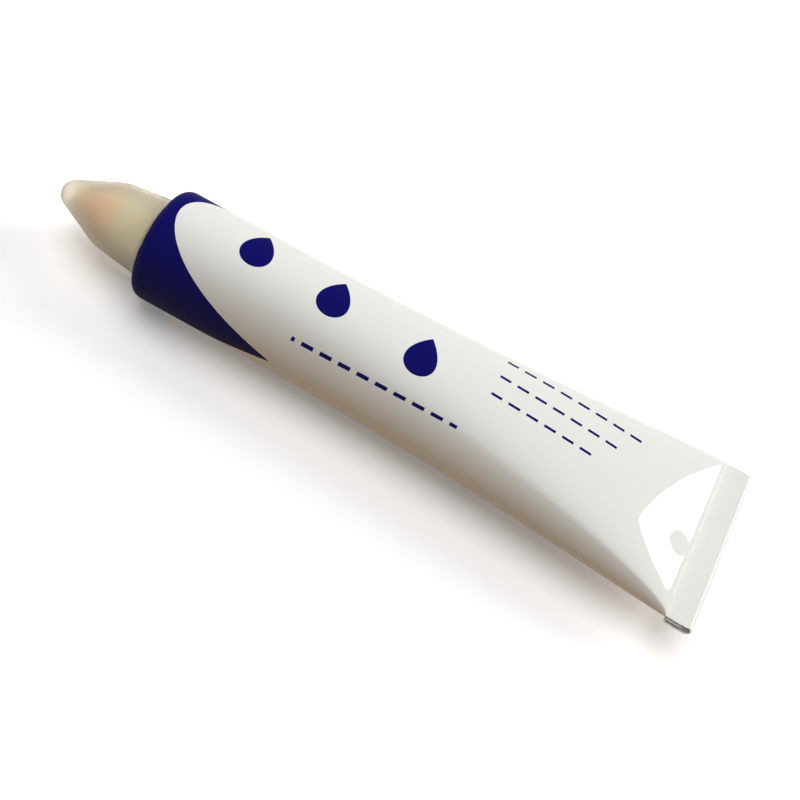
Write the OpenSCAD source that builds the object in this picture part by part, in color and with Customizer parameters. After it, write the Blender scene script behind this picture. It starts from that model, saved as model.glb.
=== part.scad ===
// Fabric marker: a collapsible metal tube of textile paint with a sprung ball tip and a push-on cap.
// The tube lies along X, with its cap towards -X and its folded tail towards +X, and Z is up.
// The origin is under the middle of the whole marker, on the surface that the tube lies on.
// Sizes are in millimetres. Heights along the tip are measured forward from the tube's front rim.

/* [Tube] */
// Radius of the round front of the tube
tube_r = 12.5; // [11:0.5:16]
// Length of the tube from its front rim to the fold at its tail
tube_len = 128; // [100:1:160]
// Thickness of the tube's wall
tube_wall = 0.2; // [0.15:0.05:0.35]
// Length of the front of the tube that stays a true cylinder
collar_len = 15; // [8:1:25]
// Power of the curve by which the tube flattens from its collar to its tail
flatten_power = 2.1; // [1.6:0.1:3]
// Radius of the rounded front rim
rim_round = 2.6; // [1:0.2:3.2]

/* [Shoulder and neck] */
// Thickness of the shoulder that closes the front of the tube
shoulder_t = 0.6; // [0.4:0.1:0.9]
// Rise of the shoulder from the rim to the neck
shoulder_rise = 0.6; // [0.3:0.1:1.2]
// Radius of the neck at the root of its thread
neck_r = 5; // [4.6:0.1:5.6]
// Thickness of the neck's wall
neck_wall = 1; // [0.6:0.1:1.4]
// Length of the neck from the shoulder to its top
neck_len = 5.6; // [4.6:0.2:8]
// Height of the neck's thread
thread_h = 0.45; // [0.2:0.05:0.6]
// Distance between the thread's ridges
thread_pitch = 1.4; // [1:0.1:2]

/* [Folded tail] */
// Width of the folded band at the tail
fold_w = 6; // [4:0.5:9]
// Thickness of the sealing strip between the two walls
seal_t = 0.12; // [0.08:0.02:0.2]
// Gap between the layers of the fold
fold_gap = 0.06; // [0.04:0.02:0.12]

/* [Tip] */
// Thickness of the gasket on the neck
gasket_t = 0.7; // [0.4:0.1:1.2]
// Thickness of the tip housing's flange
flange_t = 0.8; // [0.5:0.1:1.2]
// Width of the ledge by which the holder keeps the flange down
flange_ledge = 0.4; // [0.3:0.1:0.8]
// Thickness of the holder's roof over the flange
roof_t = 1.2; // [0.8:0.1:1.8]
// Thickness of the holder's wall around the thread
holder_wall = 0.8; // [0.6:0.1:1.2]
// Step from the holder's wall out to the band that grips the cap
land_step = 1; // [0.7:0.1:1.4]
// Length of the band that grips the cap
land_len = 4; // [3:0.2:5]
// Number of grip rings around that band
grip_count = 3; // [2:1:4]
// Height of the grip rings
grip_h = 0.25; // [0.1:0.05:0.4]
// Bevel on the edge of the holder's roof
holder_edge = 0.5; // [0.2:0.1:0.7]
// Length of the metal nose from the holder's roof to its lip
nose_len = 9.3; // [8.6:0.1:11]
// Length of the slim ferrule at the end of the nose
ferrule_len = 2; // [1.6:0.1:2.4]
// Step from the ferrule out to the cone of the nose
ferrule_step = 0.5; // [0.3:0.1:0.8]
// Thickness of the ferrule's wall around the ball
ferrule_wall = 0.65; // [0.5:0.05:0.9]

/* [Ball valve] */
// Radius of the writing ball
ball_r = 1.1; // [0.9:0.05:1.25]
// How far the ball stands out of its lip
ball_show = 0.5; // [0.35:0.05:0.6]
// How far the ball is pressed in when the marker writes
ball_travel = 0.4; // [0.2:0.05:0.6]
// Radius of the bore that holds the spring
spring_bore = 2; // [1.9:0.05:2.2]
// Length of the spring between its two seats
spring_len = 4.4; // [3.6:0.2:4.8]
// Radius of the spring's wire
wire_r = 0.2; // [0.12:0.02:0.24]
// Number of the spring's turns
spring_turns = 5; // [3:1:6]
// Thickness of the disc that holds the spring in
retainer_t = 1; // [0.6:0.1:1.2]
// Radius of each hole in that disc
retainer_hole_r = 0.38; // [0.25:0.02:0.4]
// Thickness of the plunger's flange
plunger_flange_t = 0.6; // [0.4:0.1:0.8]
// Radius of the stem that guides the spring
stem_r = 0.75; // [0.5:0.05:0.85]
// Length of that stem
stem_len = 1.8; // [1:0.1:2.4]

/* [Cap] */
// Thickness of the cap's skirt at its mouth
skirt_wall = 1.5; // [1.2:0.1:2]
// Thickness of the cap's wall above the skirt
cap_wall = 1.1; // [0.8:0.1:1.3]
// Bevel on the edges of the cap's mouth
mouth_edge = 0.4; // [0.2:0.1:0.6]
// Height of the cap's knee over the holder's roof
knee_rise = 2.6; // [1.6:0.2:4]
// Radius that rounds the knee
knee_round = 9; // [4:0.5:14]
// Thickness of the solid end of the cap
cap_end_t = 2.8; // [2:0.1:4]
// Radius of the soft pad that covers the ball
pad_r = 2.1; // [1.5:0.1:2.6]
// Thickness of that pad
pad_t = 1.5; // [1:0.1:2]

/* [Clearances] */
// Gap between pieces that move past each other or are pulled apart
run_gap = 0.05; // [0.03:0.01:0.1]
// Gap around the ball
ball_gap = 0.04; // [0.03:0.01:0.06]
// Gap between pieces that face each other at rest
rest_gap = 0.3; // [0.2:0.05:0.4]
// Gap between fixed pieces that fill one another
fill_gap = 0.02; // [0.01:0.01:0.03]

/* [Hidden] */
$fn = 64;

// Smoothness of the drawn curves
arc_steps = 10;
section_points = 48;
sleeve_rings = 22;
wire_sides = 8;
wire_steps = 16;

// Heights along the tip, in the order in which its pieces are stacked on the neck
neck_top = shoulder_rise + neck_len;
gasket_top = neck_top + gasket_t;
flange_top = gasket_top + flange_t;
roof_top = flange_top + roof_t;
nose_top = roof_top + nose_len;
ball_top = nose_top + ball_show;
ball_z = ball_top - ball_r;
pad_base = ball_top + rest_gap;
pad_top = pad_base + pad_t;
cap_top = pad_top + cap_end_t;

// Place of the rim along X, so that the whole marker is centred on the origin
marker_len = cap_top + tube_len + fold_w;
rim_x = cap_top - marker_len / 2;

// The walls pressed together at the tail, with the sealing strip between them
leaf_t = 2 * tube_wall + seal_t;
fold_pitch = leaf_t + fold_gap;
tail_half_w = PI / 2 * tube_r;
sleeve_lap = 0.4;
bend_far = fold_w - fold_pitch - leaf_t / 2;
bend_near = fold_pitch / 2 + leaf_t / 2;
seal_half_w = tail_half_w - fold_pitch;

// Radii of the neck and of what sits on it
neck_bore = neck_r - neck_wall;
flange_r = neck_r;
nose_r = flange_r - flange_ledge;
roof_r = neck_r + thread_h + run_gap + holder_wall;
land_r = roof_r + land_step;
holder_base = shoulder_rise + rest_gap;
land_top = holder_base + land_len;

// The ball's seat, its plunger and its spring, from the lip inwards
ball_bore = ball_r + ball_gap;
lip_angle = asin((ball_r - ball_show) / ball_bore);
ferrule_r = ball_bore + ferrule_wall;
ferrule_base = nose_top - ferrule_len;
cup_r = ball_r - ball_gap;
cup_top = ball_z - sqrt(ball_bore * ball_bore - cup_r * cup_r);
plunger_head_len = ball_r + ball_travel;
head_base = cup_top - plunger_head_len;
shelf_z = head_base + rest_gap;
plunger_seat = head_base - plunger_flange_t;
plunger_flange_r = spring_bore - 2 * run_gap;
retainer_top = plunger_seat - spring_len;
spring_r = (stem_r + spring_bore) / 2;

// The cap's outline: a tapered skirt, a knee, a cone and a round end
mouth_z = shoulder_rise + rest_gap;
land_bore = land_r + run_gap;
cap_base_r = land_bore + skirt_wall;
knee_z = roof_top + knee_rise;
knee_r = roof_r + 2 * run_gap + cap_wall;
pocket_r = pad_r + fill_gap;
cap_end_r = pocket_r + cap_wall;
cap_end_z = cap_top - cap_end_r;
skirt_angle = atan((cap_base_r - knee_r) / (knee_z - mouth_z));
knee_reach = norm([knee_r, cap_end_z - knee_z]);
cone_angle = atan(knee_r / (cap_end_z - knee_z)) - asin(cap_end_r / knee_reach);
knee_bend = (cone_angle - skirt_angle) / 2;
knee_mid = (cone_angle + skirt_angle) / 2;
knee_centre = [knee_r, knee_z] - knee_round / cos(knee_bend) * [cos(knee_mid), sin(knee_mid)];

// Points of an arc in a profile, as [radius, height]
function arc(centre, r, from, to) =
    [for (k = [0 : arc_steps]) let (a = from + (to - from) * k / arc_steps) centre + r * [cos(a), sin(a)]];

// Share of the tube's radius that is lost to flattening at a distance behind the rim
function flattening(b) = (1 - leaf_t / 2 / tube_r)
    * pow(min(1, max(0, b - collar_len) / (tube_len - collar_len)), flatten_power);

// Cross-section of the sleeve at a distance behind the rim, drawn in from the outside by an inset
function section(b, inset) =
    let (flat = flattening(b), r = tube_r * (1 - flat) - inset, spread = tail_half_w * flat)
    [for (k = [0 : section_points - 1])
        let (a = 360 * k / section_points)
        [rim_x + b, r * cos(a) + spread * sin(90 * cos(a)), tube_r + r * sin(a)]];

// Distances behind the rim of the sleeve's cross-sections, which lap into the collar and the fold
sleeve_places = concat(
    [collar_len - sleeve_lap],
    [for (k = [0 : sleeve_rings]) collar_len + (tube_len - collar_len) * k / sleeve_rings],
    [tube_len + sleeve_lap]);

// Side faces between rings of points that follow one another
function ring_faces(count, sides, closed) =
    [for (j = [0 : count - (closed ? 1 : 2)], k = [0 : sides - 1])
        let (a = j * sides, b = (j + 1) % count * sides, m = (k + 1) % sides)
        each [[a + k, b + k, b + m], [a + k, b + m, a + m]]];

// A solid whose rings follow one another, with flat ends or closed on itself
module ring_solid(rings, closed) {
    count = len(rings);
    sides = len(rings[0]);
    ends = closed ? [] : [[for (k = [0 : sides - 1]) k],
                          [for (k = [0 : sides - 1]) count * sides - 1 - k]];
    polyhedron(points = [for (ring = rings) each ring],
               faces = concat(ends, ring_faces(count, sides, closed)));
}

// Ridges of the neck's thread, drawn as closed rings, as [radius, height] points from the bottom up
thread_count = floor((neck_len - thread_pitch) / thread_pitch);
thread_flank = 0.3 * thread_pitch;
thread_crest = 0.15 * thread_pitch;
thread_start = shoulder_rise + 0.75 * thread_pitch;
function thread(grow) =
    [for (k = [0 : thread_count - 1])
        let (z = thread_start + thread_pitch * k)
        each [[neck_r + grow, z - grow],
              [neck_r + thread_h + grow, z + thread_flank - grow],
              [neck_r + thread_h + grow, z + thread_flank + thread_crest + grow],
              [neck_r + grow, z + 2 * thread_flank + thread_crest + grow]]];

// Profile of the cap's outside above its skirt, drawn in by an inset
function cap_knee(inset) = arc(knee_centre, knee_round - inset, skirt_angle, cone_angle);

// Turns a profile of [radius, height] points about the marker's axis, forward from the rim
module turned(profile) {
    translate([rim_x, 0, tube_r]) rotate([0, -90, 0]) rotate_extrude() polygon(profile);
}

// Puts a shape that stands on the rim's plane onto the marker's axis, pointing forward
module forward(z) {
    translate([rim_x - z, 0, tube_r]) rotate([0, -90, 0]) children();
}

// Half of a ring as thick as the pressed walls, on its +X side
module half_ring(r) intersection() {
    difference() {
        circle(r + leaf_t / 2);
        circle(r - leaf_t / 2);
    }
    translate([0, -2 * r]) square(4 * r);
}

// Outline of the tail's fold: the closed end of the tube is rolled under twice, with its cut edge inside
module fold_outline() {
    translate([0, -leaf_t / 2]) square([bend_far, leaf_t]);
    for (layer = [1, 2])
        translate([bend_near, -layer * fold_pitch - leaf_t / 2]) square([bend_far - bend_near, leaf_t]);
    translate([bend_far, -fold_pitch]) half_ring(fold_pitch);
    translate([bend_near, -1.5 * fold_pitch]) mirror([1, 0]) half_ring(fold_pitch / 2);
}

// Aluminium tube in one piece: sleeve, rim, shoulder, threaded neck and folded tail
module tube_shell() color("ghostwhite") {
    turned(concat(
        [[tube_r - tube_wall, -collar_len], [tube_r, -collar_len]],
        arc([tube_r - rim_round, -rim_round], rim_round, 0, 90),
        [[neck_r, shoulder_rise]],
        thread(0),
        [[neck_r, neck_top],
         [neck_bore, neck_top],
         [neck_bore, shoulder_rise - shoulder_t],
         [tube_r - rim_round, -shoulder_t],
         [tube_r - tube_wall, -rim_round]]));
    ring_solid(concat(
        [for (b = sleeve_places) section(b, fill_gap)],
        [for (k = [len(sleeve_places) - 1 : -1 : 0])
            section(sleeve_places[k], tube_wall - fill_gap)]), true);
    translate([rim_x + tube_len, 0, tube_r]) rotate([90, 0, 0]) difference() {
        linear_extrude(2 * tail_half_w, center = true) fold_outline();
        cube([2 * bend_far, seal_t, 2 * seal_half_w], center = true);
    }
}

// Latex strip that seals the two walls inside the fold
module end_seal() color("burlywood") {
    strip = [bend_far - sleeve_lap, 2 * seal_half_w, seal_t] - 2 * fill_gap * [1, 1, 1];
    translate([rim_x + tube_len + sleeve_lap + fill_gap, -strip[1] / 2, tube_r - strip[2] / 2]) cube(strip);
}

// Textile paint that fills the tube and its neck
module paint_fill() color("gold") {
    skin = tube_wall + fill_gap;
    turned([[0, -collar_len],
            [tube_r - skin, -collar_len],
            [tube_r - skin, -rim_round],
            [tube_r - rim_round, -shoulder_t - fill_gap],
            [neck_bore - fill_gap, shoulder_rise - shoulder_t - fill_gap],
            [neck_bore - fill_gap, gasket_top - fill_gap],
            [0, gasket_top - fill_gap]]);
    ring_solid([for (b = sleeve_places) if (b <= tube_len) section(b, skin + fill_gap / 2)], false);
}

// Rubber ring that seals the tip housing on the neck
module neck_gasket() color("dimgray")
    turned([[neck_bore, neck_top], [flange_r, neck_top], [flange_r, gasket_top], [neck_bore, gasket_top]]);

// Plastic holder, screwed on the neck: it clamps the tip housing and grips the cap
module tip_holder() color("whitesmoke") {
    hole_r = nose_r + run_gap;
    bore_r = neck_r + run_gap;
    inner = thread(run_gap);
    // Each grip ring has a flank, a crest and a flank, with half a groove on either side, all of one length
    grip_side = land_len / grip_count / 4;
    grips = [for (k = [0 : grip_count - 1])
        let (z = holder_base + grip_side * (4 * k + 1 / 2))
        each [[land_r - grip_h, z],
              [land_r, z + grip_side],
              [land_r, z + 2 * grip_side],
              [land_r - grip_h, z + 3 * grip_side]]];
    turned(concat(
        [[bore_r, holder_base],
         [land_r - grip_h, holder_base]],
        grips,
        [[land_r - grip_h, land_top],
         [roof_r, land_top],
         [roof_r, roof_top - holder_edge],
         [roof_r - holder_edge, roof_top],
         [hole_r, roof_top],
         [hole_r, flange_top],
         [bore_r, flange_top]],
        [for (k = [len(inner) - 1 : -1 : 0]) inner[k]]));
}

// Turned brass housing: a flange, a cone and a ferrule whose lip is rolled over the ball
module tip_housing() color("darkgoldenrod") {
    lip_r = ball_bore * cos(lip_angle);
    turned(concat(
        [[spring_bore, gasket_top],
         [flange_r, gasket_top],
         [flange_r, flange_top],
         [nose_r, flange_top],
         [nose_r, roof_top],
         [ferrule_r + ferrule_step, ferrule_base],
         [ferrule_r, ferrule_base],
         [ferrule_r, ball_z],
         [(ferrule_r + lip_r) / 2, nose_top]],
        arc([0, ball_z], ball_bore, lip_angle, 0),
        [[ball_bore, shelf_z],
         [spring_bore, shelf_z]]));
}

// Brass disc pressed into the housing's bore: the spring stands on it and the paint flows through it
module spring_retainer() color("peru")
    forward(retainer_top - retainer_t) difference() {
        cylinder(h = retainer_t, r = spring_bore - fill_gap / 2);
        for (turn = [0 : 90 : 270])
            rotate(turn) translate([spring_bore / 2, 0, -retainer_t])
                cylinder(h = 3 * retainer_t, r = retainer_hole_r);
    }

// Steel coil spring that keeps the ball against its lip
module valve_spring() color("silver") {
    rise = spring_len - 2 * (wire_r + fill_gap);
    steps = spring_turns * wire_steps;
    forward(retainer_top + wire_r + fill_gap) ring_solid(
        [for (j = [0 : steps])
            let (a = 360 * j / wire_steps)
            [for (k = [0 : wire_sides - 1])
                let (s = -360 * k / wire_sides, r = spring_r + wire_r * cos(s))
                [r * cos(a), r * sin(a), rise * j / steps + wire_r * sin(s)]]], false);
}

// Brass plunger behind the ball: a cup, a flange that the paint flows past, and a stem inside the spring
module ball_plunger() color("goldenrod")
    forward(plunger_seat) difference() {
        union() {
            translate([0, 0, -stem_len]) cylinder(h = stem_len, r = stem_r);
            cylinder(h = plunger_flange_t, r = plunger_flange_r);
            cylinder(h = cup_top - plunger_seat, r = cup_r);
        }
        translate([0, 0, ball_z - plunger_seat]) sphere(ball_bore);
        for (turn = [0 : 120 : 240])
            rotate(turn) translate([spring_bore, 0, -plunger_flange_t])
                cylinder(h = 3 * plunger_flange_t, r = (spring_bore - cup_r) / 2);
    }

// Steel ball that rolls the paint on
module writing_ball() color("lightgray") forward(ball_z) sphere(ball_r);

// Soft translucent plastic cap, pushed over the holder's band
module cap_shell() color("oldlace") {
    inner_knee = cap_knee(cap_wall);
    inner_last = inner_knee[arc_steps];
    shelf_r = inner_last[0] - (pad_base - inner_last[1]) * tan(cone_angle);
    land_end = land_top + rest_gap;
    throat_r = inner_knee[0][0] + (inner_knee[0][1] - land_end) * tan(skirt_angle);
    turned(concat(
        [[land_bore + mouth_edge, mouth_z],
         [cap_base_r - mouth_edge, mouth_z],
         [cap_base_r - mouth_edge * tan(skirt_angle), mouth_z + mouth_edge]],
        cap_knee(0),
        arc([0, cap_end_z], cap_end_r, cone_angle, 90),
        [[0, pad_top], [pocket_r, pad_top], [pocket_r, pad_base], [shelf_r, pad_base]],
        [for (k = [arc_steps : -1 : 0]) inner_knee[k]],
        [[throat_r, land_end], [land_bore, land_end], [land_bore, mouth_z + mouth_edge]]));
}

// Soft pad in the end of the cap that keeps the ball from drying
module cap_pad() color("lightgray") forward(pad_base) cylinder(h = pad_t, r = pad_r);

tube_shell();
end_seal();
paint_fill();
neck_gasket();
tip_holder();
tip_housing();
spring_retainer();
valve_spring();
ball_plunger();
writing_ball();
cap_shell();
cap_pad();
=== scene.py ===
# Fabric marker: a collapsible metal tube of textile paint with a sprung ball tip and a milky push-on cap.
from cmath import exp, phase
from math import asin, atan, cos, pi, radians, sin, tan

import bmesh
import bpy
from mathutils import Matrix, Vector


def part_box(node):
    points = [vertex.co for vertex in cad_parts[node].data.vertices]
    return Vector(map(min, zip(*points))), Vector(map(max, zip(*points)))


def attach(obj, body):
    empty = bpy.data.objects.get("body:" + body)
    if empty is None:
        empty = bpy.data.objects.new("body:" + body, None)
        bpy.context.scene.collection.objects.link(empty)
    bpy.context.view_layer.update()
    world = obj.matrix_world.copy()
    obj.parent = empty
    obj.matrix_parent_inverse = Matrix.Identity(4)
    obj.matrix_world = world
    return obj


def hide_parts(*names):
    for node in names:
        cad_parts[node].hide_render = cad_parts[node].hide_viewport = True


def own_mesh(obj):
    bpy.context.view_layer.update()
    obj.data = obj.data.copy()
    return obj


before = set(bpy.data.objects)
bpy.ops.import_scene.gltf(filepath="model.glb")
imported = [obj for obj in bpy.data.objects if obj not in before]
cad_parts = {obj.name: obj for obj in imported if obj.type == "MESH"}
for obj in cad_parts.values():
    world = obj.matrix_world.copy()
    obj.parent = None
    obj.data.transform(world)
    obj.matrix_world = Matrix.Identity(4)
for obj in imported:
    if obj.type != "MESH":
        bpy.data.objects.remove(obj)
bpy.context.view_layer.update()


# Tube: one thin piece of aluminium, pressed from a slug with its shoulder and threaded neck.
# It is enamelled white, printed in indigo around its front, and filled through its open tail,
# which is then pressed flat and rolled under twice.
mm = 0.001
shell_low, shell_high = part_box("tube_shell")
tube_r = (shell_high.z - shell_low.z) / 2
axis_z = shell_low.z + tube_r
tail_half_w = shell_high.y
tube_len = 128 * mm
fold_w = 6 * mm
rim_x = shell_high.x - fold_w - tube_len
collar_len = 15 * mm
flatten_power = 2.1
leaf_t = 0.52 * mm
fold_pitch = 0.58 * mm
fold_bulge = 0.008
sleeve_start = 4 * mm
tube_sides = 192


class Wire:
    """A value on its way through a node tree, so that sums over a surface read as plain expressions."""

    def __init__(self, tree, socket=None):
        self.tree = tree
        self.socket = socket

    def node(self, kind, settings={}, sockets={}, out=0):
        """Adds a node of any kind, sets it up, feeds its sockets and gives the wire that leaves it."""
        made = self.tree.nodes.new(kind)
        for name, value in settings.items():
            setattr(made, name, value)
        for name, value in sockets.items():
            if isinstance(value, Wire):
                self.tree.links.new(value.socket, made.inputs[name])
            else:
                made.inputs[name].default_value = value
        return Wire(self.tree, made.outputs[out])

    def maths(self, operation, *others):
        values = dict(enumerate([self, *others]))
        return self.node("ShaderNodeMath", {"operation": operation}, values)

    def part(self, axis):
        return self.node("ShaderNodeSeparateXYZ", {}, {0: self}, out=axis)

    def clamped(self):
        return self.node("ShaderNodeClamp", {}, {0: self})

    def __add__(self, other):
        return self.maths("ADD", other)

    def __sub__(self, other):
        return self.maths("SUBTRACT", other)

    def __rsub__(self, other):
        return self.node("ShaderNodeMath", {"operation": "SUBTRACT"}, {0: other, 1: self})

    def __mul__(self, other):
        return self.maths("MULTIPLY", other)

    def __truediv__(self, other):
        return self.maths("DIVIDE", other)

    def __rtruediv__(self, other):
        return self.node("ShaderNodeMath", {"operation": "DIVIDE"}, {0: other, 1: self})

    def __pow__(self, other):
        return self.maths("POWER", other)

    __radd__ = __add__
    __rmul__ = __mul__


def new_material(name, constants):
    """A material whose even values are set on its shader, with a first wire for what varies."""
    material = bpy.data.materials.new(name)
    material.use_nodes = True
    surface = material.node_tree.nodes["Principled BSDF"]
    for socket, value in constants.items():
        surface.inputs[socket].default_value = value
    return material, Wire(material.node_tree), surface


def feed(surface, socket, wire):
    """Leads a wire into one of the shader's sockets."""
    wire.tree.links.new(wire.socket, surface.inputs[socket])


def speckle(place, size, detail=2):
    """Soft noise from 0 to 1 whose blotches are about so large."""
    sockets = {"Vector": place, "Scale": 1 / size, "Detail": detail}
    return place.node("ShaderNodeTexNoise", {}, sockets)


def tinted(mask, under, over):
    """A colour that goes from one to another as the mask goes from 0 to 1."""
    settings = {"data_type": "RGBA"}
    return mask.node("ShaderNodeMix", settings, {0: mask, 6: under, 7: over}, out=2)


def relief(surface, height, depth):
    """Gives the surface a fine relief, so many metres deep."""
    bump = height.node("ShaderNodeBump", {}, {"Height": height, "Distance": depth}, out="Normal")
    feed(surface, "Normal", bump)


# The print runs around the front as a band that leaves a round-ended white field above and another below.
# Between the two fields it runs back along the sides in two pointed tongues.
band_w = 3.6
tongue_run = 30.4
print_turn = radians(6.9)
upper_field = radians(96.3)
ink_edge, ink_wander = 0.1, 0.12
enamel, wire, surface = new_material("printed_enamel", {
    "Specular IOR Level": 0.0, "Coat IOR": 1.5, "Coat Roughness": 0.035})
place = wire.node("ShaderNodeTexCoord", out="Object")
behind = (place.part("X") - rim_x) / mm
across = place.part("Y")
above = place.part("Z") - axis_z
angle = across.maths("ARCTAN2", above) - print_turn
swing = angle.maths("WRAP", pi, -pi).maths("ABSOLUTE")
reach = (swing / upper_field).maths("MINIMUM", (pi - swing) / (pi - upper_field))
wander = (speckle(place, 0.4 * mm) - 0.5) * ink_wander
inked = ((band_w + tongue_run * reach ** 2 + wander - behind) / ink_edge).clamped()
white = tinted(speckle(place, 9 * mm), (0.80, 0.81, 0.775, 1), (0.825, 0.83, 0.80, 1))
indigo = tinted(speckle(place, 5 * mm), (0.0025, 0.0015, 0.115, 1), (0.0035, 0.002, 0.135, 1))

# Plain marks printed on the upper side: three drops of paint and four rows of stitches
drop_long, drop_half, drop_low = 9.5, 3.5, 4.2
drop_peak = 0.385  # greatest value of up ** 0.5 * (1 - up)
v = across / mm
upper_side = above.maths("GREATER_THAN", 0)
marks = inked
for drop_b, drop_y in ((21.5, 2), (40, 0.6), (61, -1)):
    up = ((v - drop_y + drop_low) / drop_long).clamped()
    half_w = drop_half / drop_peak * up ** 0.5 * (1 - up)
    drop = ((half_w - (behind - drop_b).maths("ABSOLUTE")) / ink_edge).clamped()
    marks = marks.maths("MAXIMUM", drop * upper_side)
stitch_pitch, stitch_half, stitch_thick = 4.2, 1.4, 0.36
stitch = stitch_half - (behind.maths("WRAP", stitch_pitch, 0) - stitch_pitch / 2).maths("ABSOLUTE")
stitch_rows = ((36.2, 73.9, -9.8), (76.5, 110, 9.6), (76.5, 105.8, 4.8), (76.5, 101.5, 0))
for row_start, row_end, row_y in stitch_rows:
    row = stitch_thick - (v - row_y).maths("ABSOLUTE")
    length = (behind - row_start).maths("MINIMUM", row_end - behind)
    dash = (stitch.maths("MINIMUM", row).maths("MINIMUM", length) / ink_edge).clamped()
    marks = marks.maths("MAXIMUM", dash * upper_side)
printed = tinted(marks, white, indigo)

# The enamel is worn off the ends of the fold, where bare aluminium shows. One dull spot near the fold
# has no gloss, and the ink has little.
bare_reach, bare_fade = 0.14 * mm, 0.1 * mm
bare_metal, bare_shine = (0.40, 0.40, 0.39, 1), 0.9
crack_least, crack_spread, crack_start = 0.55, 0.9, 60
gloss, ink_dulling = 0.55, 0.8
into_fold = (behind - tube_len / mm) / (fold_w / mm)
fold_edge = tail_half_w * (1 + fold_bulge * (into_fold * pi).maths("SINE"))
fold_end = ((across.maths("ABSOLUTE") - fold_edge + bare_reach) / bare_fade).clamped()
at_fold = (into_fold * crack_start).clamped()
cracked = (fold_end * at_fold * (crack_least + crack_spread * speckle(place, 0.5 * mm))).clamped()
feed(surface, "Base Color", tinted(cracked, printed, bare_metal))
feed(surface, "Metallic", cracked * bare_shine)
spot_b, spot_y, spot_r = 124.3, -4.9, 2.6
spot_wander, spot_edge = 0.8, 0.25
from_spot = ((behind - spot_b) ** 2 + (v - spot_y) ** 2) ** 0.5
from_spot = from_spot + spot_wander * (speckle(place, 1.5 * mm) - 0.5)
dull = ((spot_r - from_spot) / spot_edge).clamped() * upper_side
feed(surface, "Coat Weight", gloss * (1 - cracked) * (1 - dull) * (1 - ink_dulling * marks))
feed(surface, "Roughness", 0.32 + 0.1 * speckle(place, 3 * mm))
relief(surface, speckle(place, 1.8 * mm, 1), 0.004 * mm)


def new_tree(name, labels):
    """A tree of geometry nodes with a named number for each size, and the wires that carry them."""
    tree = bpy.data.node_groups.new(name, "GeometryNodeTree")
    tree.interface.new_socket("Geometry", in_out="OUTPUT", socket_type="NodeSocketGeometry")
    for label in labels:
        tree.interface.new_socket(label, in_out="INPUT", socket_type="NodeSocketFloat")
    entry = tree.nodes.new("NodeGroupInput")
    return Wire(tree), {label: Wire(tree, entry.outputs[label]) for label in labels}


def grown(name, wire, sizes, shape, material):
    """Ends a tree with the shape in its material, runs it at these sizes and keeps a plain mesh."""
    tree = wire.tree
    whole = wire.node("GeometryNodeRealizeInstances", {}, {"Geometry": shape})
    painted = wire.node("GeometryNodeSetMaterial", {}, {"Geometry": whole, "Material": material})
    tree.links.new(painted.socket, tree.nodes.new("NodeGroupOutput").inputs[0])
    piece = bpy.data.objects.new(name, bpy.data.meshes.new(name))
    bpy.context.scene.collection.objects.link(piece)
    growth = piece.modifiers.new(tree.name, "NODES")
    growth.node_group = tree
    for socket in tree.interface.items_tree:
        if socket.in_out == "INPUT":
            growth[socket.identifier] = sizes[socket.name]
    graph = bpy.context.evaluated_depsgraph_get()
    piece.data = bpy.data.meshes.new_from_object(piece.evaluated_get(graph))
    piece.data.materials.clear()
    piece.data.materials.append(material)
    piece.modifiers.clear()
    return piece


def vector(x, y, z):
    return x.node("ShaderNodeCombineXYZ", {}, {0: x, 1: y, 2: z})


def offset(place, move, times=1.0):
    """A point moved along a vector by so many times its length."""
    scaled = place.node("ShaderNodeVectorMath", {"operation": "SCALE"}, {0: move, "Scale": times})
    return place.node("ShaderNodeVectorMath", {"operation": "ADD"}, {0: place, 1: scaled})


# Centre line of the pressed leaf in the fold: along the tail, under in a wide bend, back, and up in a tight
# bend to its cut edge, which ends inside the roll and leaves a hollow behind the wide bend
bend_far = fold_w - fold_pitch - leaf_t / 2
bend_near = fold_pitch / 2 + leaf_t / 2
cut_edge = 0.62 * fold_w
straight = [k / 6 for k in range(6)]
half_turn = [exp(-1j * pi * k / 16) for k in range(16)]
fold_line = [complex(bend_far * k, 0) for k in straight]
fold_line += [complex(bend_far, -fold_pitch) + 1j * fold_pitch * k for k in half_turn]
fold_line += [complex(bend_far + (bend_near - bend_far) * k, -2 * fold_pitch) for k in straight]
fold_line += [complex(bend_near, -1.5 * fold_pitch) - 0.5j * fold_pitch * k for k in half_turn]
fold_line += [complex(bend_near + (cut_edge - bend_near) * k, -fold_pitch) for k in straight + [1]]
line = bpy.data.curves.new("fold_line", "CURVE")
line.dimensions = "3D"
spline = line.splines.new("POLY")
spline.points.add(len(fold_line) - 1)
for point, spot in zip(spline.points, fold_line):
    point.co = (rim_x + tube_len + spot.real, 0, axis_z + spot.imag, 1)
fold_path = bpy.data.objects.new("fold_line", line)
bpy.context.scene.collection.objects.link(fold_path)

# The sleeve goes from round to flat by a power of the distance. It stays full until close to the fold,
# where its sides are pressed tight. The fold is rolled a little crooked, so its lower layers stand out
# at one end.
tube_sizes = {
    "Rim X": rim_x, "Axis Z": axis_z, "Radius": tube_r, "Start": sleeve_start, "Length": tube_len,
    "Collar": collar_len, "Power": flatten_power, "Half Width": tail_half_w, "Leaf": leaf_t,
    "Fold Width": fold_w, "Fullness": 0.55, "Side Tightness": 1.5, "Dents": 0.09 * mm, "Dent Size": 9 * mm,
    "Fold Waves": 0.12 * mm, "Fold Bulge": fold_bulge, "Fold Skew": 0.6, "Fray": 0.4 * mm}
wire, size = new_tree("pressed_tube", tube_sizes)
sleeve_rows = 140
fold_rows = 190
front_dents = 0.15
wave_long = 11 * mm
weld = 0.5e-6


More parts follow.
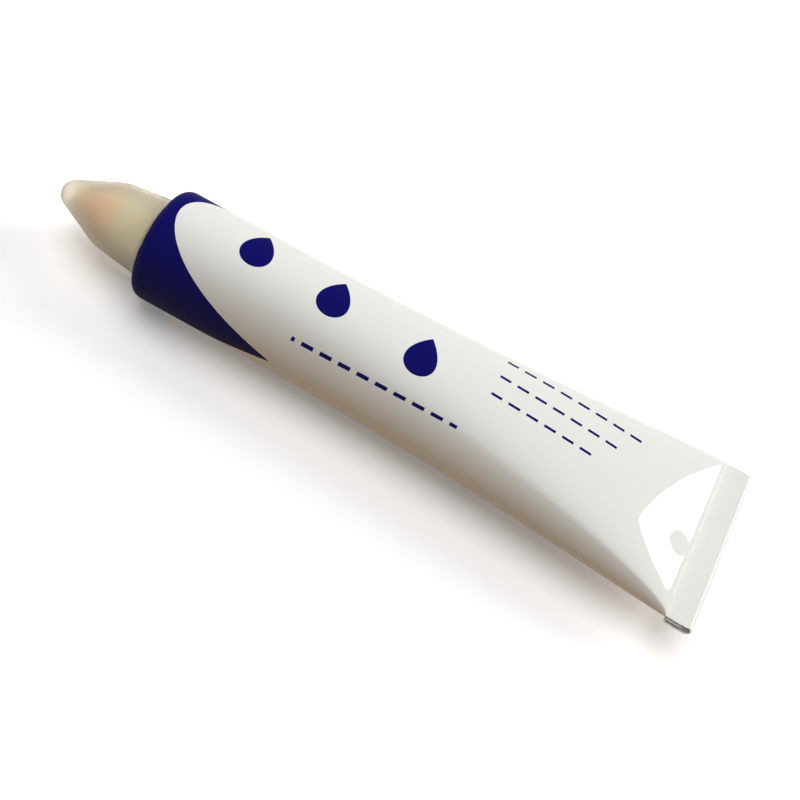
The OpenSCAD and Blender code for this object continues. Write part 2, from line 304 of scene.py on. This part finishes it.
def sheet(rows):
    """A grid of unit size, with the wires for how far along it and how far around it a point lies."""
    sockets = {"Size X": 1, "Size Y": 1, "Vertices X": rows + 1, "Vertices Y": tube_sides + 1}
    grid = wire.node("GeometryNodeMeshGrid", {}, sockets)
    place = wire.node("GeometryNodeInputPosition")
    return grid, place.part("X") + 0.5, (place.part("Y") + 0.5) * 2 * pi


grid, along, around = sheet(sleeve_rows)
behind = size["Start"] + (size["Length"] - size["Start"]) * along
pressed = (behind - size["Collar"]).maths("MAXIMUM", 0) / (size["Length"] - size["Collar"])
pressed = pressed ** size["Power"]
leaf_share = 1 - size["Leaf"] / size["Radius"] / 2
half_width = size["Radius"] + (size["Half Width"] - size["Radius"]) * pressed * leaf_share
bow = size["Radius"] * (1 - leaf_share + leaf_share * (1 - pressed).maths("MAXIMUM", 0) ** size["Fullness"])
spread = half_width - bow
rise = around.maths("SINE")


def swept_to_sides(side):
    """Share of the spread that a point of the wall takes, from one side over the flat to the other."""
    tight = (side * size["Side Tightness"]).maths("MINIMUM", 1).maths("MAXIMUM", -1)
    return (tight * pi / 2).maths("SINE")


side = around.maths("COSINE")
swept = swept_to_sides(side)
smooth = vector(size["Rim X"] + behind, bow * side + spread * swept, size["Axis Z"] + bow * rise)
dent = speckle(smooth, size["Dent Size"], 1) - 0.5
dented = bow + dent * size["Dents"] * (front_dents * (along * 8).clamped() + pressed) * (1 - along ** 40)
uneven = vector(size["Rim X"] + behind, bow * side + spread * swept, size["Axis Z"] + dented * rise)
sleeve = wire.node("GeometryNodeSetPosition", {}, {"Geometry": grid, "Position": uneven})

grid, along, around = sheet(fold_rows)
side = around.maths("COSINE")
half_leaf = size["Leaf"] / 2
swept = swept_to_sides(side)
leaf_y = half_leaf * side + size["Half Width"] * leaf_share * swept
last_row = along.maths("GREATER_THAN", 1 - 0.5 / fold_rows)
leaf_z = half_leaf * around.maths("SINE") * (1 - last_row)
settings = {"transform_space": "ORIGINAL"}
path = wire.node("GeometryNodeObjectInfo", settings, {"Object": fold_path}, out="Geometry")
sockets = {"Curves": path, "Factor": (along * (fold_rows / (fold_rows - 1))).maths("MINIMUM", 1)}
settings = {"mode": "FACTOR", "use_all_curves": True}
centre = wire.node("GeometryNodeSampleCurve", settings, sockets, out="Position")
heading = Wire(wire.tree, centre.socket.node.outputs["Tangent"])
upright = heading.node("ShaderNodeVectorMath", {"operation": "CROSS_PRODUCT"}, {0: heading, 1: (0, 1, 0)})
inward = (centre.part("X") - size["Rim X"] - size["Length"]) / size["Fold Width"]
bulge = 1 + size["Fold Bulge"] * (inward * pi).maths("SINE")
wave_place = vector(inward * 0.3, leaf_y * (1 / wave_long), inward * 0)
wave = (speckle(wave_place, 1, 1) - 0.5) * size["Fold Waves"] * (inward * 2).clamped()
depth = centre.part("Z") - size["Axis Z"]
fray_place = vector(inward * 6, depth / mm, swept)
fray = (speckle(fray_place, 1, 1) - 0.5) * size["Fray"] * (inward * 8).clamped()
leaf_y = leaf_y * bulge + fray * swept + depth * size["Fold Skew"]
leaf = offset(offset(centre, upright, leaf_z), vector(inward * 0, leaf_y, wave))
fold = wire.node("GeometryNodeSetPosition", {}, {"Geometry": grid, "Position": leaf})

joined = wire.node("GeometryNodeJoinGeometry", {}, {0: sleeve})
wire.tree.links.new(fold.socket, joined.socket.node.inputs[0])
closed = wire.node("GeometryNodeMergeByDistance", {}, {"Geometry": joined, "Distance": weld})
tube = grown("enamelled_tube", wire, tube_sizes, closed, enamel)
bpy.data.objects.remove(fold_path)


def rounded(corners, steps=6):
    """Outline through corners of forward, radius and rounding, in millimetres, as complex points."""
    spots = [complex(*corner[:2]) for corner in corners]
    outline = []
    for k, here in enumerate(spots):
        bend = corners[k][2]
        if not bend:
            outline.append(here)
            continue
        back = spots[k - 1] - here
        on = spots[(k + 1) % len(spots)] - here
        half = abs(phase(on / back)) / 2
        run = min(bend / tan(half), 0.45 * abs(back), 0.45 * abs(on))
        first = back / abs(back) * run
        last = on / abs(on) * run
        centre = (first + last) / 2 / cos(half) ** 2
        sweep = phase((last - centre) / (first - centre))
        outline += [here + centre + (first - centre) * exp(1j * sweep * n / steps) for n in range(steps + 1)]
    return outline


def arc(centre, radius, start, end, steps=16):
    """Points of an arc about a centre on the axis, from one angle off the forward direction to another."""
    return [centre + radius * exp(1j * (start + (end - start) * k / steps)) for k in range(steps + 1)]


def turned(outline, sides, closed=True):
    """A form turned about the marker's axis from an outline in millimetres forward of the rim."""
    form = bmesh.new()
    rings = []
    for spot in outline:
        count = sides if spot.imag > 1e-6 else 1
        r = spot.imag * mm if count > 1 else 0
        turns = [2 * pi * k / sides for k in range(count)]
        places = [(rim_x - spot.real * mm, r * cos(a), axis_z + r * sin(a)) for a in turns]
        rings.append([form.verts.new(place) for place in places])
    following = rings[1:] + rings[:1] if closed else rings[1:]
    for ring, after in zip(rings, following):
        for k in range(sides):
            m = (k + 1) % sides
            spots = [ring[k % len(ring)], ring[m % len(ring)], after[m % len(after)], after[k % len(after)]]
            face = list(dict.fromkeys(spots))
            if len(face) > 2:
                form.faces.new(face)
    return form


def finished(form, mesh):
    """Writes a closed form into a mesh, with its faces outwards and its true edges left sharp."""
    bmesh.ops.remove_doubles(form, verts=form.verts, dist=weld)
    bmesh.ops.recalc_face_normals(form, faces=form.faces)
    form.to_mesh(mesh)
    form.free()
    mesh.shade_smooth()
    mesh.set_sharp_from_angle(angle=radians(35))
    mesh.update()


# The front end: neck with its thread, shoulder and rounded rim, turned and joined to the sleeve
rim_round = 2.6
rim_r = tube_r / mm
neck_r = 5
neck_bore = 4
neck_top = 6.2
shoulder_rise = 0.6
thread_pitch, thread_h, thread_w = 1.4, 0.45, 1.05
crest_low, crest_high = 0.42, 0.63
ridges = []
for turn in (2.75, 1.75, 0.75):
    foot = shoulder_rise + thread_pitch * turn
    ridges += [(foot + thread_w, neck_r, 0.1), (foot + crest_high, neck_r + thread_h, 0.1),
               (foot + crest_low, neck_r + thread_h, 0.1), (foot, neck_r, 0.1)]
front = rounded([(0, 0, 0), (0, neck_bore, 0.2), (neck_top, neck_bore, 0.15), (neck_top, neck_r, 0.2),
                 *ridges, (shoulder_rise, neck_r, 0.4), (0, rim_r - rim_round, 0)])
rim_centre = complex(-rim_round, rim_r - rim_round)
front += [rim_centre + rim_round * exp(1j * pi / 2 * k / 14) for k in range(1, 15)]
front_end = turned(front + [complex(-sleeve_start / mm, rim_r)], tube_sides, closed=False)
front_end.from_mesh(tube.data)
finished(front_end, tube.data)
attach(tube, "tube")
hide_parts("tube_shell")


# Filling: the textile paint, bright yellow, fills the tube up to the top of its neck.
# A strip of latex, sprayed inside the tail before it is closed, seals the fold. Both lie inside the tube.
paint, wire, surface = new_material("yellow_paint", {"Roughness": 0.25, "Coat Weight": 0.6})
place = wire.node("ShaderNodeTexCoord", out="Object")
feed(surface, "Base Color", tinted(speckle(place, 2 * mm, 4), (0.80, 0.42, 0.006, 1), (0.88, 0.52, 0.012, 1)))
relief(surface, speckle(place, 4 * mm), 0.02 * mm)
latex, wire, surface = new_material("seal_latex", {"Roughness": 0.7})
place = wire.node("ShaderNodeTexCoord", out="Object")
feed(surface, "Base Color", tinted(speckle(place, 1 * mm, 4), (0.50, 0.36, 0.17, 1), (0.60, 0.46, 0.24, 1)))


def dressed(node, material):
    """Gives a CAD node that stays as it is its material."""
    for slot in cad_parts[node].material_slots:
        slot.material = material


dressed("paint_fill", paint)
dressed("end_seal", latex)


# Gasket: a flat ring punched from black rubber sheet. It is pinched between the neck and the flange
# of the nose, and keeps the paint from creeping out under the holder.
rubber, wire, surface = new_material("black_rubber", {"Roughness": 0.75})
place = wire.node("ShaderNodeTexCoord", out="Object")
dark_rubber, worn_rubber = (0.012, 0.012, 0.012, 1), (0.03, 0.03, 0.029, 1)
feed(surface, "Base Color", tinted(speckle(place, 0.6 * mm, 5), dark_rubber, worn_rubber))
relief(surface, speckle(place, 0.15 * mm, 4), 0.01 * mm)
dressed("neck_gasket", rubber)


# Nose: a turned brass cone that stands with its flange on the gasket. Its end is rolled in over the ball,
# and its bore holds the spring and the plunger.
def new_piece(name, outline, material, sides=96):
    """A turned piece of one material."""
    piece = bpy.data.objects.new(name, bpy.data.meshes.new(name))
    bpy.context.scene.collection.objects.link(piece)
    finished(turned(outline, sides), piece.data)
    piece.data.materials.append(material)
    return piece


def tool_marks(surface, place, pitch, depth):
    """Fine rings left by the lathe, of uneven strength."""
    ring = (place.part("X") * (2 * pi / pitch) + 5 * speckle(place, 3 * mm)).maths("SINE")
    relief(surface, ring * speckle(place, 1 * mm), depth)


brass, wire, surface = new_material("turned_brass", {"Metallic": 0.15})
place = wire.node("ShaderNodeTexCoord", out="Object")
feed(surface, "Base Color", tinted(speckle(place, 1.5 * mm, 4), (0.64, 0.36, 0.13, 1), (0.70, 0.42, 0.17, 1)))
feed(surface, "Roughness", 0.3 + 0.15 * speckle(place, 0.8 * mm, 3))
tool_marks(surface, place, 0.12 * mm, 0.002 * mm)
nose_base, flange_top, roof_top = 6.9, 7.7, 8.9
flange_r, nose_r = 5, 4.6
ferrule_base, ferrule_r, ferrule_step, nose_top = 16.2, 1.79, 0.5, 18.2
spring_bore, bore_shelf = 2, 15.98
ball_z, ball_r = 17.6, 1.1
ball_bore = 1.14
lip = arc(ball_z, ball_bore, radians(58.2), radians(88), 8)
nose = new_piece("brass_nose", rounded([
    (nose_base, spring_bore, 0.15), (nose_base, flange_r, 0.15), (flange_top, flange_r, 0.15),
    (flange_top, nose_r, 0.1), (roof_top, nose_r, 0.2), (ferrule_base, ferrule_r + ferrule_step, 0.15),
    (ferrule_base, ferrule_r, 0.1), (nose_top - 0.55, ferrule_r, 0.5), (nose_top, lip[0].imag + 0.12, 0.1)])
    + lip + rounded([(bore_shelf, ball_bore, 0), (bore_shelf, spring_bore, 0)]), brass)
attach(nose, "tube")
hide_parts("tip_housing")


# Holder: a moulded plastic ring that screws onto the neck and clamps the nose. The cap is pushed over the
# three soft rings around it.
holder_plastic, wire, surface = new_material("holder_plastic", {"Roughness": 0.42, "Subsurface Weight": 0.3,
                                                               "Subsurface Scale": 0.8 * mm})
place = wire.node("ShaderNodeTexCoord", out="Object")
feed(surface, "Base Color", tinted(speckle(place, 3 * mm, 4), (0.53, 0.53, 0.41, 1), (0.58, 0.58, 0.46, 1)))
relief(surface, speckle(place, 0.3 * mm, 3), 0.004 * mm)
holder_base, land_top, land_r, roof_r = 0.9, 4.9, 7.3, 6.3
holder_bore, nose_hole, holder_edge = 5.55, 4.65, 0.5
grip_count, grip_h = 3, 0.25
grip_pitch = (land_top - holder_base) / grip_count
grips = []
for grip in range(grip_count):
    foot = holder_base + grip_pitch * grip
    grips += [(foot + 0.1, land_r - grip_h, 0.12), (foot + 0.4, land_r, 0.15),
              (foot + grip_pitch - 0.4, land_r, 0.15), (foot + grip_pitch - 0.1, land_r - grip_h, 0.12)]
holder = new_piece("grip_holder", rounded([
    (holder_base, holder_bore, 0.1), (holder_base, land_r - grip_h, 0.08), *grips,
    (land_top, land_r - grip_h, 0.08), (land_top, roof_r, 0.2), (roof_top, roof_r, holder_edge),
    (roof_top, nose_hole, 0.15), (flange_top, nose_hole, 0), (flange_top, holder_bore, 0.1)]), holder_plastic)
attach(holder, "tube")
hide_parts("tip_holder")


# Valve: a pierced brass disc pressed into the nose carries a coil spring. The spring pushes a brass plunger
# against the back of the ball and so closes the lip until the ball is pressed on the cloth.
dressed("spring_retainer", brass)
dressed("ball_plunger", brass)
steel, wire, surface = new_material("spring_steel", {"Metallic": 1.0})
place = wire.node("ShaderNodeTexCoord", out="Object")
feed(surface, "Base Color", tinted(speckle(place, 0.5 * mm, 4), (0.44, 0.44, 0.45, 1), (0.56, 0.56, 0.56, 1)))
feed(surface, "Roughness", 0.25 + 0.2 * speckle(place, 0.3 * mm, 3))
spring_foot, spring_len, spring_turns = 10.68, 4.4, 5
spring_sizes = {"Foot X": rim_x - spring_foot * mm, "Axis Z": axis_z, "Coil Radius": 1.375 * mm,
                "Wire Radius": 0.2 * mm, "Length": spring_len * mm, "Turns": spring_turns, "Closed Ends": 0.5}
wire, size = new_tree("coil_spring", spring_sizes)
sockets = {"Resolution": 40, "Rotations": size["Turns"], "Start Radius": size["Coil Radius"],
           "End Radius": size["Coil Radius"], "Height": size["Length"]}
spiral = wire.node("GeometryNodeCurveSpiral", {}, sockets)
along = wire.node("GeometryNodeSplineParameter")
spot = wire.node("GeometryNodeInputPosition")
climb = along - (along * 2 * pi).maths("SINE") / (2 * pi) * size["Closed Ends"]
forward = size["Wire Radius"] + climb * (size["Length"] - 2 * size["Wire Radius"])
place = vector(size["Foot X"] - forward, spot.part("X"), size["Axis Z"] + spot.part("Y"))
coil = wire.node("GeometryNodeSetPosition", {}, {"Geometry": spiral, "Position": place})
ring = wire.node("GeometryNodeCurvePrimitiveCircle", {}, {"Resolution": 12, "Radius": size["Wire Radius"]})
sockets = {"Curve": coil, "Profile Curve": ring, "Fill Caps": True}
wound = wire.node("GeometryNodeCurveToMesh", {}, sockets)
spring = grown("coil_spring", wire, spring_sizes, wound, steel)
form = bmesh.new()
form.from_mesh(spring.data)
finished(form, spring.data)
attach(spring, "tube")
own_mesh(spring)
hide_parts("valve_spring")


# Ball: a polished steel ball that rolls in the lip of the nose and carries the paint onto the cloth.
# The lip holds it in front, and the plunger behind.
polished, wire, surface = new_material("ball_steel", {"Metallic": 1.0})
place = wire.node("ShaderNodeTexCoord", out="Object")
feed(surface, "Base Color", tinted(speckle(place, 0.6 * mm, 3), (0.62, 0.62, 0.63, 1), (0.68, 0.68, 0.68, 1)))
feed(surface, "Roughness", 0.08 + 0.12 * speckle(place, 0.25 * mm, 4))
ball = new_piece("steel_ball", arc(ball_z, ball_r, 0, pi, 32), polished, 64)
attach(ball, "ball")
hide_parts("writing_ball")


# Cap: moulded in one shot from milky polyethylene, so the nose shows through it as a tan blur.
# It widens to its mouth, bends at a knee and ends in a blunt round point, where a foam pad faces the ball.
cap_plastic, wire, surface = new_material("milky_plastic", {
    "IOR": 1.33, "Transmission Weight": 0.85, "Subsurface Weight": 1.0, "Subsurface Scale": 0.5 * mm,
    "Subsurface Radius": (1.0, 0.95, 0.85)})
place = wire.node("ShaderNodeTexCoord", out="Object")
milk, pale_milk = (0.83, 0.785, 0.69, 1), (0.85, 0.805, 0.715, 1)
feed(surface, "Base Color", tinted(speckle(place, 6 * mm, 3), milk, pale_milk))
feed(surface, "Roughness", 0.9 + 0.1 * speckle(place, 1.5 * mm, 3))
relief(surface, speckle(place, 2 * mm, 2), 0.006 * mm)
mouth, base_r, mouth_edge, land_bore, land_end = 0.9, 8.85, 0.4, 7.35, 5.2
knee, knee_r, knee_round, cap_wall = 11.5, 7.5, 9, 1.1
cap_top, end_r, pad_base, pad_top, pocket_r = 23.3, 3.22, 19, 20.5, 2.12
end_z = cap_top - end_r
skirt_angle = atan((base_r - knee_r) / (knee - mouth))
cone_angle = atan(knee_r / (end_z - knee)) - asin(end_r / abs(complex(end_z - knee, knee_r)))
knee_in = complex(knee, knee_r) - cap_wall / cos((cone_angle - skirt_angle) / 2) * 1j * exp(
    -1j * (skirt_angle + cone_angle) / 2)
throat_r = knee_in.imag + (knee_in.real - land_end) * tan(skirt_angle)
shelf_r = knee_in.imag - (pad_base - knee_in.real) * tan(cone_angle)
round_end = arc(end_z, end_r, 0, pi / 2 - cone_angle, 14)
corners = [
    (round_end[-1].real, round_end[-1].imag, 0), (knee, knee_r, knee_round), (mouth, base_r, mouth_edge),
    (mouth, land_bore, mouth_edge), (land_end, land_bore, 0), (land_end, throat_r, 0.1),
    (knee_in.real, knee_in.imag, knee_round - cap_wall), (pad_base, shelf_r, 0.3),
    (pad_base, pocket_r, 0.1), (pad_top, pocket_r, 0.2), (pad_top, 0, 0)]
cap = new_piece("milky_cap", round_end + rounded(corners, 10)[1:], cap_plastic, 128)
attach(cap, "cap")
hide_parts("cap_shell")
foam, wire, surface = new_material("pale_foam", {"Roughness": 0.9})
place = wire.node("ShaderNodeTexCoord", out="Object")
feed(surface, "Base Color", tinted(speckle(place, 0.5 * mm, 4), (0.90, 0.89, 0.82, 1), (0.94, 0.93, 0.87, 1)))
relief(surface, speckle(place, 0.12 * mm, 3), 0.03 * mm)
dressed("cap_pad", foam)


# Floor and light: a white floor in a white room, with an oval window behind the tail, a weak reflector and a
# soft ceiling lamp. The floor goes over into the white of the room away from the marker, and throws back
# a dimmer, warmer light than it shows.
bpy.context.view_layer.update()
floor_mesh = bpy.data.meshes.new("floor")
floor_half = 1
floor_corners = [(-1, -1), (1, -1), (1, 1), (-1, 1)]
floor_mesh.from_pydata([(x * floor_half, y * floor_half, 0) for x, y in floor_corners], [], [(0, 1, 2, 3)])
floor = bpy.data.objects.new("floor", floor_mesh)
bpy.context.scene.collection.objects.link(floor)
paper, wire, surface = new_material("white_floor", {
    "Roughness": 1.0, "Specular IOR Level": 0.0, "Emission Strength": 1.0})


def seen_ray(wire):
    """1 for a ray that brings a picture to the eye, straight, mirrored or through plastic, else 0."""
    path = wire.node("ShaderNodeLightPath", out="Is Camera Ray")
    for kind in ("Is Glossy Ray", "Is Transmission Ray"):
        path = path.maths("MAXIMUM", Wire(wire.tree, path.tree.nodes["Light Path"].outputs[kind]))
    return path


unlit, full_white = (0.0, 0.0, 0.0, 1), (1.0, 1.0, 1.0, 1)
warm_floor, warm_room = (0.60, 0.42, 0.25, 1), (0.03, 0.021, 0.014, 1)
near_glow, fade_start, fade_end = 0.2, 0.25, 0.8
seen = seen_ray(wire)
place = wire.node("ShaderNodeTexCoord", out="Object")
away = (place.part("X") ** 2 + place.part("Y") ** 2) ** 0.5
far = ((away - fade_start) / (fade_end - fade_start)).clamped()
feed(surface, "Base Color", tinted(seen, warm_floor, tinted(far, full_white, unlit)))
feed(surface, "Emission Color", tinted(seen * (near_glow + (1 - near_glow) * far), unlit, full_white))
floor_mesh.materials.append(paper)

world = bpy.data.worlds.new("soft_room")
bpy.context.scene.world = world
world.use_nodes = True
sky = world.node_tree.nodes["Background"]
feed(sky, "Color", tinted(seen_ray(Wire(world.node_tree)), warm_room, full_white))


def soft_lamp(name, size, power, place):
    """An oval lamp of so many metres and watts that shines along its own -Z."""
    light = bpy.data.lights.new(name, "AREA")
    light.shape = "ELLIPSE"
    light.size, light.size_y = size
    light.energy = power
    lamp = bpy.data.objects.new(name, light)
    bpy.context.scene.collection.objects.link(lamp)
    lamp.matrix_world = place
    return lamp


window_size, window_power = (0.9, 2.3), 56
window_height, window_lean = radians(46), radians(21)
window_place = (2.2, 1.47, -0.64)
tail = Matrix.Translation((rim_x + tube_len, 0, axis_z))
facing = Matrix.Rotation(pi / 2, 4, "Y") @ Matrix.Rotation(pi / 2, 4, "Z")
soft_lamp("window", window_size, window_power, tail @ Matrix.Rotation(-window_height, 4, "Y")
          @ Matrix.Translation(window_place) @ facing @ Matrix.Rotation(window_lean, 4, "Z"))
round_size, lamp_away = (1.2, 1.2), 1.5
reflector_turn, reflector_height, reflector_power = radians(141), radians(45), 4.3
raised = Matrix.Rotation(reflector_turn, 4, "Z") @ Matrix.Rotation(-reflector_height, 4, "Y")
reflector = soft_lamp("reflector", round_size, reflector_power,
                      raised @ Matrix.Translation((lamp_away, 0, 0)) @ facing)
reflector.visible_glossy = False
ceiling_power = 13.5
ceiling = soft_lamp("ceiling", round_size, ceiling_power, Matrix.Translation((0, 0, lamp_away)))
ceiling.visible_glossy = False


# Camera: stands where the photograph was taken from, above one side of the marker and turned a little.
# Its place and lens were found from the tube's outline.
aim = Vector((5.5 * mm, -5.6 * mm, axis_z))
camera_turn, camera_height, camera_roll = radians(5.8), radians(59.9), radians(23.9)
camera_away = 264.4 * mm
lens = bpy.data.cameras.new("camera")
lens.lens = 57.8
lens.sensor_width = 36
lens.clip_start = 0.01
camera = bpy.data.objects.new("camera", lens)
bpy.context.scene.collection.objects.link(camera)
bpy.context.scene.camera = camera
gaze = Matrix.Rotation(camera_turn, 4, "Z") @ Matrix.Rotation(pi / 2 - camera_height, 4, "X")
camera.matrix_world = (Matrix.Translation(aim) @ gaze @ Matrix.Rotation(camera_roll, 4, "Z")
                       @ Matrix.Translation((0, 0, camera_away)))
bpy.context.scene.view_settings.view_transform = "Standard"
